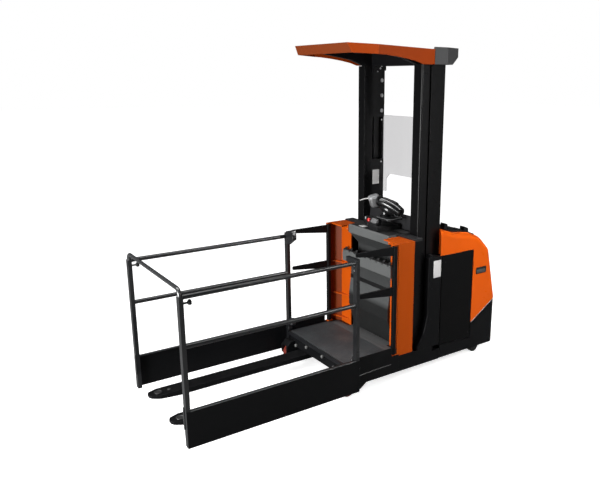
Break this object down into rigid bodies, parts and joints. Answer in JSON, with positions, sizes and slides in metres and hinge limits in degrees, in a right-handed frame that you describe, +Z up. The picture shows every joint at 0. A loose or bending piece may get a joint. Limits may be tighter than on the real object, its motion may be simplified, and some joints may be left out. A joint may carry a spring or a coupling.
{
  "type": "order picker",
  "caption": "Order picker truck with a two-stage mast, a standing cab with console, forks and a guard cage, under an orange roof and motor hood.",
  "frame": {"origin": "on the floor under the middle of the truck's overall length and width, with the cab lowered", "axes": "+X forward to the fork tips, +Y left, +Z up"},
  "size_m": [3.442, 1.266, 3.115],
  "materials": {
    "black_steel": "satin paint",
    "black_plastic": "matt moulded plastic",
    "grey_plastic": "matt moulded plastic",
    "orange_cover": "painted cover",
    "orange_steel": "gloss paint",
    "battery": "painted steel box full of lead cells",
    "cast_iron": "painted casting",
    "chrome": "hard chrome",
    "mat": "worn ribbed rubber",
    "screen": "clear polycarbonate",
    "tyre": "solid tyre",
    "orange_tyre": "polyurethane tyre"
  },
  "bodies": {
    "truck": {"chassis_frame": "black_steel", "mast_cover_left": "black_plastic", "mast_cover_right": "black_plastic", "battery_panel_left": "black_plastic", "battery_panel_right": "black_plastic", "battery_pack": "battery", "motor_hood": "orange_cover", "hood_caps": "black_plastic", "rear_skirt": "black_plastic", "drive_motor": "cast_iron", "outer_mast": "black_steel", "mast_top_cover": "grey_plastic", "lift_cylinders": "black_steel"},
    "mast_inner": {"inner_mast": "black_steel", "lift_rods": "chrome"},
    "cab": {"cab_pillar_left": "black_steel", "cab_pillar_right": "black_steel", "platform": "black_steel", "floor_mat": "mat", "fork_left": "black_steel", "fork_right": "black_steel", "side_bracket_left": "orange_steel", "side_bracket_right": "orange_steel", "console": "grey_plastic", "console_top": "black_plastic", "console_tray": "black_plastic", "control_unit": "black_plastic", "steering_handle": "black_plastic", "overhead_guard": "orange_cover", "guard_arms": "black_steel", "screen": "screen", "guard_frame_left": "black_steel", "guard_frame_right": "black_steel", "front_bar": "black_steel", "toe_board_left": "black_steel", "toe_board_right": "black_steel"},
    "gate_left": {"side_gate_left": "black_steel"},
    "gate_right": {"side_gate_right": "black_steel"},
    "drive_unit": {"drive_unit": "black_steel"},
    "drive_wheel": {"drive_wheel": "tyre"},
    "castor_left": {"castor_fork_left": "black_steel"},
    "castor_left_wheel": {"castor_wheel_left": "tyre"},
    "castor_right": {"castor_fork_right": "black_steel"},
    "castor_right_wheel": {"castor_wheel_right": "tyre"},
    "load_wheel_left": {"load_wheel_left": "orange_tyre"},
    "load_wheel_right": {"load_wheel_right": "orange_tyre"}
  },
  "joints": [
    {"name": "mast_lift", "type": "slide", "parent": "truck", "child": "mast_inner", "axis": [0, 0, 1], "range_m": [0, 2.2]},
    {"name": "cab_lift", "type": "slide", "parent": "mast_inner", "child": "cab", "axis": [0, 0, 1], "range_m": [0, 2.2]},
    {"name": "gate_left_swing", "type": "hinge", "parent": "cab", "child": "gate_left", "pos_m": [-0.345, 0.553, 0.83], "axis": [0, 0, 1], "range_deg": [-90, 0]},
    {"name": "gate_right_swing", "type": "hinge", "parent": "cab", "child": "gate_right", "pos_m": [-0.345, -0.553, 0.83], "axis": [0, 0, 1], "range_deg": [0, 90]},
    {"name": "steer", "type": "hinge", "parent": "truck", "child": "drive_unit", "pos_m": [-1.519, 0, 0.34], "axis": [0, 0, 1], "range_deg": [-90, 90]},
    {"name": "drive_roll", "type": "hinge", "parent": "drive_unit", "child": "drive_wheel", "pos_m": [-1.519, 0, 0.125], "axis": [0, 1, 0], "continuous": true},
    {"name": "castor_left_swivel", "type": "hinge", "parent": "truck", "child": "castor_left", "pos_m": [-1.474, 0.455, 0.2], "axis": [0, 0, 1], "continuous": true},
    {"name": "castor_left_roll", "type": "hinge", "parent": "castor_left", "child": "castor_left_wheel", "pos_m": [-1.514, 0.455, 0.0625], "axis": [0, 1, 0], "continuous": true},
    {"name": "castor_right_swivel", "type": "hinge", "parent": "truck", "child": "castor_right", "pos_m": [-1.474, -0.455, 0.2], "axis": [0, 0, 1], "continuous": true},
    {"name": "castor_right_roll", "type": "hinge", "parent": "castor_right", "child": "castor_right_wheel", "pos_m": [-1.514, -0.455, 0.0625], "axis": [0, 1, 0], "continuous": true},
    {"name": "load_left_roll", "type": "hinge", "parent": "truck", "child": "load_wheel_left", "pos_m": [0.161, 0.5025, 0.075], "axis": [0, 1, 0], "continuous": true},
    {"name": "load_right_roll", "type": "hinge", "parent": "truck", "child": "load_wheel_right", "pos_m": [0.161, -0.5025, 0.075], "axis": [0, 1, 0], "continuous": true}
  ],
  "couplings": [
    {"joint": "cab_lift", "follows": "mast_lift", "ratio": 1}
  ]
}
